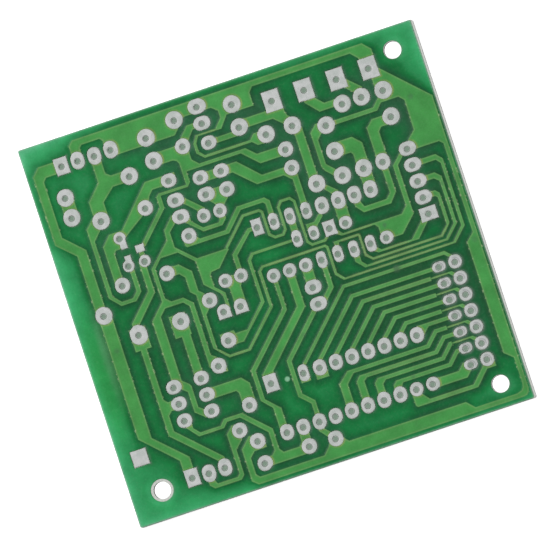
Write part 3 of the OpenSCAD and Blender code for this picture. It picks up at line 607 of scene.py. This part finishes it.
def buildFilm(sizes):
    copperCorners, copperFaces = upperFaces(copperNodes)
    tracks = [resampled(loop, sizes["edgeStep"] * mm)
              for loop in outlineLoops(copperCorners, copperFaces) if spanOf(loop) > holeSpan]
    maskCorners, maskFaces = upperFaces(["solder_mask"])
    rims = [resampled(loop, sizes["edgeStep"] * mm)
            for loop in outlineLoops(maskCorners, maskFaces)]
    openings = [loop for loop in rims if spanOf(loop) < openingSpan]
    outline = [loop for loop in rims if spanOf(loop) > openingSpan]
    copperTree, filmTree = faceTree(copperCorners, copperFaces), faceTree(maskCorners, maskFaces)
    trackEdge = edgeTree(tracks)
    points = filmPoints(sizes, tracks, openings, trackEdge, edgeTree(rims), filmTree)
    co, faces = triangulated(rims + tracks, points, filmTree)

    distance, away = nearest(trackEdge, co)
    distance *= np.where(inside(copperTree, co), -1, 1)  # negative over copper
    toOpening, fromOpening = nearest(edgeTree(openings), co)
    toBoard = nearest(edgeTree(outline), co)[0]
    top = filmHeights(sizes, co, distance, toOpening, toBoard)
    piece, rimPoints = slab("solderMask", co, faces, top, boardTop + sizes["lift"] * mm)

    overLaminate = distance > 0
    overlap = sizes["overlap"] * mm
    thinSide = np.clip(fromOpening @ np.array(sizes["thinSide"]), 0, 1)
    thinWidth = sizes["thinWidth"] * mm
    allRound, more = sizes["thinRing"]
    thin = smooth(thinWidth, 0.3 * thinWidth, toOpening) * (allRound + more * thinSide)
    begins, full, strength = sizes["narrowTrack"]
    narrow = strength * smooth(begins, full, -deepestNear(distance, faces) / mm)
    share = openShare(co, copperTree, filmTree, sizes)
    begins, full, strength = sizes["crowdedShadeRange"]
    # painted shade where little light gets into the laminate between crowded tracks
    crowdedShade = strength * smooth(begins, full, share)
    storeFields(piece, {
        "copperDistance": distance / mm,
        "glow": filmGlow(sizes, co, distance, toOpening, toBoard, share),
        "narrow": narrow * (distance < overlap),
        "thin": thin * (distance < 0),
        "halo": filmHalo(sizes, co, distance > -overlap, toOpening, thinSide),
        "stain": spotsOver(co, sizes["spots"]),
        "yellowed": patchOver(co, sizes["yellowed"]) * overLaminate,
        "rubbed": patchOver(co, sizes["rubbed"]) * overLaminate,
        "crowdedShade": crowdedShade * overLaminate,
        "edgeRun": smooth(*sizes["speckEdges"], np.abs(away[:, 0])),
        "rimDistance": toBoard / mm,
    }, rimPoints)
    print("film:", len(co), "points over", len(tracks), "tracks")
    return piece


solderMask = buildFilm(film)
solderMask.data.materials.append(solderMaskMaterial(film["look"]))
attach(solderMask, "root")
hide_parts("solder_mask")


tinning = {
    "grid": 0.28,  # mm between points on a pad
    "edgeStep": 0.25,  # mm between points along a pad's edge
    "rows": (0.05, 0.14),  # mm, rows of points inside a pad's edge and round its hole
    "clear": 0.04,  # mm with no loose points beside an edge
    "round": 0.14,  # mm, width of the rounded edge
    "sag": 0.4,  # share of the tin's thickness that the edge lies below the middle
    "headroom": 0.004,  # mm left above the middle for the waves
    "waves": (0.003, 1.2),  # mm, height and length of its slow waves
    "lip": 0.12,  # mm, where the solder dips into the hole
    "lipHeight": 0.4,  # share of the height that is left at the hole's edge
    # the step in the tin of the header's pads, with painted shade along it
    "seamRadius": 0.68,  # mm from the hole's middle
    "seamWidth": 0.06,  # mm
    "seamSide": 40,  # degrees, the side that it is on
    "seamEnds": (0.2, 0.6),  # how far it faces that side where it begins, and is full
    "seamDepth": 0.012,  # mm
    "seamPoints": 48,  # round one hole
    "look": {
        "face": "#c7c9c8",
        "dull": "#b8beba",
        "rim": "#b0b8b2",
        # painted shade along the step
        "seam": "#85888a",
        # painted shade where the tin dips into the hole
        "hole": "#8a918a",
        "patchNoise": (0.38, 0.6),  # noise where the tin is dull, and where it is bright
        "patch": 1.1,  # mm
        "grain": 0.3,  # mm
        "rimWidth": 0.2,  # mm
        "rimStrength": 0.5,
        "holeWidth": 0.1,  # mm
        "holeStrength": 0.35,
        "seamShadeStrength": 0.8,
        "bumpStrength": 0.3,
        "bumpDepth": 0.01,  # mm
        "roughness": 0.68,
        "metallic": 0.2,
    },
}


def tinMaterial(look):
    # Pads dipped in solder and levelled with hot air: a soft grey metal with no mirror shine, with
    # painted shade round the holes and along the step of the header's pads
    material, tree, where = newMaterial("hotAirLevelledTin")
    field = fieldsOf(tree, "rimDistance", "holeDistance", "seam")
    bright = add(tree, "ShaderNodeMapRange", {
        "Value": noiseOf(tree, where, look["patch"]), "From Min": look["patchNoise"][0],
        "From Max": look["patchNoise"][1]})
    # the hole tint is painted shade at the mouth of the hole
    rim, hole = [add(tree, "ShaderNodeMapRange", {
        "Value": field[name + "Distance"], "From Min": look[name + "Width"], "From Max": 0,
        "To Max": look[name + "Strength"]}).outputs["Result"] for name in ("rim", "hole")]
    colour = tinted(tree, linear(look["dull"]), look, {
        "face": bright.outputs["Result"], "rim": rim, "seam": field["seam"], "hole": hole})
    bump = add(tree, "ShaderNodeBump", {
        "Height": noiseOf(tree, where, look["grain"]), "Strength": look["bumpStrength"],
        "Distance": look["bumpDepth"] * mm})
    shader = add(tree, "ShaderNodeBsdfPrincipled", {
        "Base Color": colour, "Roughness": look["roughness"], "Metallic": look["metallic"],
        "Normal": bump.outputs["Normal"]})
    add(tree, "ShaderNodeOutputMaterial", {"Surface": shader.outputs["BSDF"]})
    return material


def seamOver(sizes, co, centres):
    # how strongly the step in the tin shows at each point, round the nearest of the holes
    away = co[:, None] - centres[None]
    ownHole = np.linalg.norm(away, axis=2).argmin(1)
    away = away[np.arange(len(co)), ownHole]
    reach = np.linalg.norm(away, axis=1)
    side = math.radians(sizes["seamSide"])
    facing = away @ np.array([math.cos(side), math.sin(side)])
    across = (reach / mm - sizes["seamRadius"]) / sizes["seamWidth"]
    return np.exp(-across ** 2) * smooth(*sizes["seamEnds"], facing / reach)


def buildTin(sizes):
    corners, triangles = upperFaces(tinNodes)
    loops = outlineLoops(corners, triangles)
    holes = [loop for loop in loops if spanOf(loop) < holeSpan]
    outlines = [resampled(loop, sizes["edgeStep"] * mm) for loop in loops if spanOf(loop) > holeSpan]
    within = faceTree(corners, triangles)
    outerEdge, holeEdge = edgeTree(outlines), edgeTree(holes)
    centres = np.array([(loop.max(0) + loop.min(0)) / 2 for loop in holes])
    headerCentres = centres[inHeader(centres)]
    turns = np.linspace(0, 2 * math.pi, sizes["seamPoints"], endpoint=False)
    spokes = np.stack([np.cos(turns), np.sin(turns)], axis=1)
    rings = np.concatenate([
        centre + (sizes["seamRadius"] + shift * sizes["seamWidth"]) * mm * spokes
        for centre in headerCentres for shift in (-1, 0, 1)])
    points = np.concatenate([rowsAlong(outlines + holes, sizes["rows"]), rings,
                             hexGrid(boardMin, boardMax, sizes["grid"] * mm)])
    points = points[inside(within, points)]
    clear = sizes["clear"] * mm
    points = points[(nearest(outerEdge, points)[0] > clear)
                    & (nearest(holeEdge, points)[0] > clear)]
    co, faces = triangulated(outlines + holes, points, within)

    toRim, toHole = nearest(outerEdge, co)[0], nearest(holeEdge, co)[0]
    rise = np.sqrt(1 - (1 - np.clip(toRim / (sizes["round"] * mm), 0, 1)) ** 2)
    dip = smooth(0, sizes["lip"] * mm, toHole)
    height = tinTop - copperTop - sizes["headroom"] * mm
    low = sizes["lipHeight"]
    top = copperTop + height * (1 - sizes["sag"] * (1 - rise)) * (low + (1 - low) * dip)
    wave, length = sizes["waves"]
    top += wave * mm * unevenness(co, length * mm, seed=8)
    seam = seamOver(sizes, co, headerCentres)
    top -= sizes["seamDepth"] * mm * seam
    piece, rimPoints = slab("tinnedPads", co, faces, np.minimum(top, tinTop), copperTop)
    storeFields(piece, {"rimDistance": toRim / mm, "holeDistance": toHole / mm,
                        "seam": sizes["look"]["seamShadeStrength"] * seam}, rimPoints)
    print("tin:", len(outlines), "outlines,", len(holes), "holes,", len(co), "points")
    return piece, centres


tinnedPads, holeCentres = buildTin(tinning)
tinnedPads.data.materials.append(tinMaterial(tinning["look"]))
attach(tinnedPads, "root")
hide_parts(*tinNodes)


lips = {  # a grey ring just inside the mouth of every lead hole, which puts painted shade there
    "inputs": {"Hole Radius": 0.47 * mm, "Lip Width": 0.13 * mm, "Unevenness": 0.05, "Seed": 5},
    "points": (28, 8),  # round the hole, and round the ring's own section
    # colour of the ring that stands in for the shade in the hole's mouth
    "look": {"mouthShadeGrey": "#99a49b", "roughness": 0.8},
}


def holeMouthShadeMaterial(look):
    # A dull grey green ring between the bright tin and the hole: painted shade at the hole's mouth
    material, tree, _ = newMaterial("holeMouthShade")
    shader = add(tree, "ShaderNodeBsdfPrincipled", {"Base Color": linear(look["mouthShadeGrey"]),
                                                    "Roughness": look["roughness"]})
    add(tree, "ShaderNodeOutputMaterial", {"Surface": shader.outputs["BSDF"]})
    return material


def lipTree(points):
    tree = bpy.data.node_groups.new("leadHoleLips", "GeometryNodeTree")
    tree.is_modifier = True
    for name, kind in (("Geometry", "Geometry"), ("Hole Radius", "Float"), ("Lip Width", "Float"),
                       ("Unevenness", "Float"), ("Seed", "Int"), ("Finish", "Material")):
        tree.interface.new_socket(name, in_out="INPUT", socket_type="NodeSocket" + kind)
    tree.interface.new_socket("Geometry", in_out="OUTPUT", socket_type="NodeSocketGeometry")
    given = add(tree, "NodeGroupInput").outputs
    half = add(tree, "ShaderNodeMath", {0: given["Lip Width"], 1: 0.5}, operation="MULTIPLY")
    middle = add(tree, "ShaderNodeMath", {0: given["Hole Radius"], 1: half.outputs[0]},
                 operation="SUBTRACT")
    path, profile = [
        add(tree, "GeometryNodeCurvePrimitiveCircle", {"Resolution": count, "Radius": radius})
        for count, radius in zip(points, (middle.outputs[0], half.outputs[0]))]
    ring = add(tree, "GeometryNodeCurveToMesh", {"Curve": path.outputs["Curve"],
                                                 "Profile Curve": profile.outputs["Curve"]})
    smallest = add(tree, "ShaderNodeMath", {0: 1.0, 1: given["Unevenness"]}, operation="SUBTRACT")
    size = add(tree, "FunctionNodeRandomValue", {2: smallest.outputs[0], 3: 1.0,
                                                 "Seed": given["Seed"]}, data_type="FLOAT")
    placed = add(tree, "GeometryNodeInstanceOnPoints", {
        "Points": given["Geometry"], "Instance": ring.outputs["Mesh"], "Scale": size.outputs[1]})
    whole = add(tree, "GeometryNodeRealizeInstances", {0: placed.outputs["Instances"]})
    softened = add(tree, "GeometryNodeSetShadeSmooth", {0: whole.outputs[0]})
    finished = add(tree, "GeometryNodeSetMaterial", {0: softened.outputs[0],
                                                     "Material": given["Finish"]})
    add(tree, "NodeGroupOutput", {0: finished.outputs[0]})
    return tree


def buildLips(sizes, finish, centres):
    mesh = bpy.data.meshes.new("leadHoleLips")
    mesh.from_pydata([(x, y, boardTop) for x, y in centres], [], [])
    piece = bpy.data.objects.new("leadHoleLips", mesh)
    bpy.context.scene.collection.objects.link(piece)
    modifier = piece.modifiers.new("lips", "NODES")
    modifier.node_group = lipTree(sizes["points"])
    given = {**sizes["inputs"], "Finish": finish}
    for socket in modifier.node_group.interface.items_tree:
        if socket.in_out == "INPUT" and socket.name in given:
            modifier[socket.identifier] = given[socket.name]
    ready = piece.evaluated_get(bpy.context.evaluated_depsgraph_get())
    rings = bpy.data.meshes.new_from_object(ready)
    piece.modifiers.clear()
    piece.data = rings
    print("lips:", len(centres), "lead holes")
    return piece


leadHoleLips = buildLips(lips, holeMouthShadeMaterial(lips["look"]), holeCentres)
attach(leadHoleLips, "root")


laminateLook = {
    "face": "#c9ccc6",
    "weave": "#babdb6",
    "sawn": "#b5b4b2",
    "layer": "#a3a2a1",
    "wallShade": "#6f6b69",  # painted shade on the front edge and in the mounting holes
    "drilled": "#7f8e7c",
    "weavePitch": 0.5,  # mm between threads
    "weaveBend": 0.4,  # how crooked the threads are
    "layerPitch": 0.2,  # mm between plies on the sawn edge
    "layerBend": 1.5,
    "edgeBand": 0.3,  # mm from the outline where a wall is the board's own edge
    "mountReach": 2,  # mm from the middle of a mounting hole to beyond its wall
    "bumpStrength": 0.2,
    "bumpDepth": 0.01,  # mm
    "roughness": 0.7,
}


def laminateMaterial(look):
    # Glass cloth bonded with resin: pale and finely woven where it is bare, grey and layered
    # where it is sawn, and dark inside the drilled holes, with painted shade on the front edge
    # and in the mounting holes
    material, tree, where = newMaterial("glassEpoxyLaminate")
    at = add(tree, "ShaderNodeSeparateXYZ", {0: where})
    geometry = add(tree, "ShaderNodeNewGeometry")
    normal = add(tree, "ShaderNodeSeparateXYZ", {0: geometry.outputs["Normal"]})
    waves = [add(tree, "ShaderNodeTexWave", {
        "Vector": where, "Distortion": look["weaveBend"],
        "Scale": waveUnit / (look["weavePitch"] * mm)},
        bands_direction=axis).outputs["Fac"] for axis in "XY"]
    threads = add(tree, "ShaderNodeMath", {0: waves[0], 1: waves[1]}, operation="MULTIPLY")
    face = tinted(tree, linear(look["face"]), look, {"weave": threads.outputs[0]})
    plies = add(tree, "ShaderNodeTexWave", {
        "Vector": where, "Distortion": look["layerBend"], "Detail": 2,
        "Scale": waveUnit / (look["layerPitch"] * mm)}, bands_direction="Z")
    drilled = 1  # stays one where a wall lies in from the outline, and so belongs to a hole
    for i, axis in enumerate("XY"):
        offset = add(tree, "ShaderNodeMath", {
            0: at.outputs[axis], 1: -(boardMin[i] + boardMax[i]) / 2}, operation="ADD")
        across = add(tree, "ShaderNodeMath", {0: offset.outputs[0]}, operation="ABSOLUTE")
        inner = add(tree, "ShaderNodeMath", {
            0: across.outputs[0], 1: (boardMax[i] - boardMin[i]) / 2 - look["edgeBand"] * mm},
            operation="LESS_THAN")
        drilled = add(tree, "ShaderNodeMath", {0: inner.outputs[0], 1: drilled},
                      operation="MULTIPLY").outputs[0]
    mounting = nearMounts(tree, where, boardTop / 2, look["mountReach"])
    # level faces, and walls that look to the front
    flat = add(tree, "ShaderNodeMath", {0: normal.outputs["Z"]}, operation="ABSOLUTE")
    isFace = add(tree, "ShaderNodeMath", {0: flat.outputs[0], 1: 0.5}, operation="GREATER_THAN")
    front = add(tree, "ShaderNodeMath", {0: normal.outputs["Y"], 1: -0.5}, operation="LESS_THAN")
    # painted shade on walls that look to the front, and in the mounting holes
    shadedWalls = add(tree, "ShaderNodeMath", {0: front.outputs[0], 1: mounting}, operation="MAXIMUM")
    lead = add(tree, "ShaderNodeMath", {0: drilled, 1: mounting}, operation="SUBTRACT")
    wall = tinted(tree, linear(look["sawn"]), look, {
        "layer": plies.outputs["Fac"], "wallShade": shadedWalls.outputs[0], "drilled": lead.outputs[0]})
    colour = add(tree, "ShaderNodeMix", {0: isFace.outputs[0], 6: wall, 7: face},
                 data_type="RGBA")
    bump = add(tree, "ShaderNodeBump", {
        "Height": threads.outputs[0], "Strength": look["bumpStrength"],
        "Distance": look["bumpDepth"] * mm})
    shader = add(tree, "ShaderNodeBsdfPrincipled", {
        "Base Color": colour.outputs[2], "Roughness": look["roughness"], "IOR": 1.5,
        "Normal": bump.outputs["Normal"]})
    add(tree, "ShaderNodeOutputMaterial", {"Surface": shader.outputs["BSDF"]})
    return material


copperLook = {
    # pale: painted light that lifts the shade in the gaps beside the pads
    "bright": "#c2c4ad",
    "tarnish": "#a3a586",
    "patch": 0.8,  # mm
    "roughness": 0.6,
    "metallic": 0.2,
}


def copperMaterial(look):
    # Rolled foil, left bare only in the narrow gaps beside the pads, and painted pale there:
    # painted light that lifts the shade in those gaps, so that they make no dark line round the pads
    material, tree, where = newMaterial("tarnishedCopperFoil")
    colour = tinted(tree, linear(look["bright"]), look, {
        "tarnish": noiseOf(tree, where, look["patch"], detail=3)})
    shader = add(tree, "ShaderNodeBsdfPrincipled", {
        "Base Color": colour, "Roughness": look["roughness"], "Metallic": look["metallic"]})
    add(tree, "ShaderNodeOutputMaterial", {"Surface": shader.outputs["BSDF"]})
    return material


finishes = {"laminate": laminateMaterial(laminateLook)}
finishes.update(dict.fromkeys(copperNodes, copperMaterial(copperLook)))
for name, finish in finishes.items():
    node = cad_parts[name]
    node.data.materials.clear()
    node.data.materials.append(finish)
print("laminate and copper finished")


stage = {
    "size": 1.2,  # m
    "gap": 0.02,  # mm between the floor and the board
    "white": "#f4f4f4",
    "shine": 0.62,  # light of its own, so that it looks white
    "throughHole": 0.5,  # more of that where it shows through a mounting hole
    "holeReach": 1.7,  # mm round the middle of a mounting hole
    "underBoard": "#98b09d",  # light that the green film lets through to the floor
    "underMargin": 1.5,  # mm in from the board's edge where that light begins
}
lighting = {
    "sky": 0.16,
    "lamps": {  # places and sizes in metres
        "rear left": {"at": (-0.5, 0.42, 0.5), "size": 0.5, "watts": 6.4},
        "front right": {"at": (0.5, -0.46, 0.5), "size": 0.5, "watts": 3.6},
    },
}
view = {
    "tilt": 6,  # degrees off straight down
    "heading": -35,  # degrees, the side that it is tilted to
    "turn": -18.39,  # degrees that the right of the view is turned from X
    "distance": 1.6,  # m
    "end": 10,  # m, nothing farther off is seen
    "lens": 698.4,  # mm
    "sensor": 36,  # mm
    "aim": (0.287 * mm, 0.253 * mm),  # point of the board's face in the middle of the view
}


def floorMaterial(sizes, z):
    # White paper with light of its own, which the eye and reflections see and which casts none
    # on the board
    material, tree, where = newMaterial("paleStudioFloor")
    rays = add(tree, "ShaderNodeLightPath")
    seen = 0
    for kind in ("Camera", "Glossy", "Transmission"):
        seen = add(tree, "ShaderNodeMath", {0: rays.outputs["Is " + kind + " Ray"], 1: seen},
                   operation="MAXIMUM").outputs[0]
    clear = nearMounts(tree, where, z, sizes["holeReach"])
    strength = add(tree, "ShaderNodeMath", {0: clear, 1: sizes["throughHole"], 2: sizes["shine"]},
                   operation="MULTIPLY_ADD")
    at = add(tree, "ShaderNodeSeparateXYZ", {0: where})
    under = [add(tree, "ShaderNodeMath", {
        0: at.outputs[axis], 1: (boardMin[i] + boardMax[i]) / 2,
        2: (boardMax[i] - boardMin[i]) / 2 - sizes["underMargin"] * mm},
        operation="COMPARE").outputs[0] for i, axis in enumerate("XY")]
    under = add(tree, "ShaderNodeMath", {0: under[0], 1: under[1]}, operation="MULTIPLY")
    under = add(tree, "ShaderNodeMath", {0: under.outputs[0], 1: clear}, operation="SUBTRACT")
    tint = tinted(tree, linear("#ffffff"), sizes, {"underBoard": under.outputs[0]})
    power = add(tree, "ShaderNodeMath", {0: seen, 1: strength.outputs[0]}, operation="MULTIPLY")
    glow = add(tree, "ShaderNodeEmission", {"Color": tint, "Strength": power.outputs[0]})
    plain = add(tree, "ShaderNodeBsdfDiffuse", {"Color": linear(sizes["white"])})
    both = add(tree, "ShaderNodeAddShader", {0: plain.outputs[0], 1: glow.outputs[0]})
    add(tree, "ShaderNodeOutputMaterial", {"Surface": both.outputs[0]})
    return material


def buildFloor(sizes):
    half = sizes["size"] / 2
    z = cadBox[0].z - sizes["gap"] * mm
    mesh = bpy.data.meshes.new("floor")
    mesh.from_pydata([(-half, -half, z), (half, -half, z), (half, half, z), (-half, half, z)],
                     [], [(0, 1, 2, 3)])
    floor = bpy.data.objects.new("floor", mesh)
    bpy.context.scene.collection.objects.link(floor)
    mesh.materials.append(floorMaterial(sizes, z))


def buildLight(sizes):
    for name, lamp in sizes["lamps"].items():
        data = bpy.data.lights.new(name, "AREA")
        data.shape, data.size, data.energy = "DISK", lamp["size"], lamp["watts"]
        light = bpy.data.objects.new(name, data)
        light.location = lamp["at"]
        light.rotation_euler = (-Vector(lamp["at"])).to_track_quat("-Z", "Y").to_euler()
        bpy.context.scene.collection.objects.link(light)
    world = bpy.data.worlds.new("softSky")
    bpy.context.scene.world = world
    world.use_nodes = True
    tree = world.node_tree
    tree.nodes.clear()
    sky = add(tree, "ShaderNodeBackground", {"Color": linear("#ffffff"), "Strength": sizes["sky"]})
    add(tree, "ShaderNodeOutputWorld", {"Surface": sky.outputs[0]})


def buildCamera(sizes):
    tilt, heading, turn = (math.radians(sizes[k]) for k in ("tilt", "heading", "turn"))
    back = Vector((math.sin(tilt) * math.cos(heading), math.sin(tilt) * math.sin(heading),
                   math.cos(tilt)))
    right = Vector((math.cos(turn), math.sin(turn), 0))
    right = (right - back * right.dot(back)).normalized()
    data = bpy.data.cameras.new("camera")
    data.sensor_width, data.lens, data.clip_end = [sizes[k] for k in ("sensor", "lens", "end")]
    camera = bpy.data.objects.new("camera", data)
    bpy.context.scene.collection.objects.link(camera)
    camera.rotation_euler = Matrix((right, back.cross(right), back)).transposed().to_euler()
    camera.location = Vector((*sizes["aim"], boardTop)) + back * sizes["distance"]
    bpy.context.scene.camera = camera


buildFloor(stage)
buildLight(lighting)
buildCamera(view)
bpy.context.scene.view_settings.view_transform = "Standard"
print("floor, light and camera set")
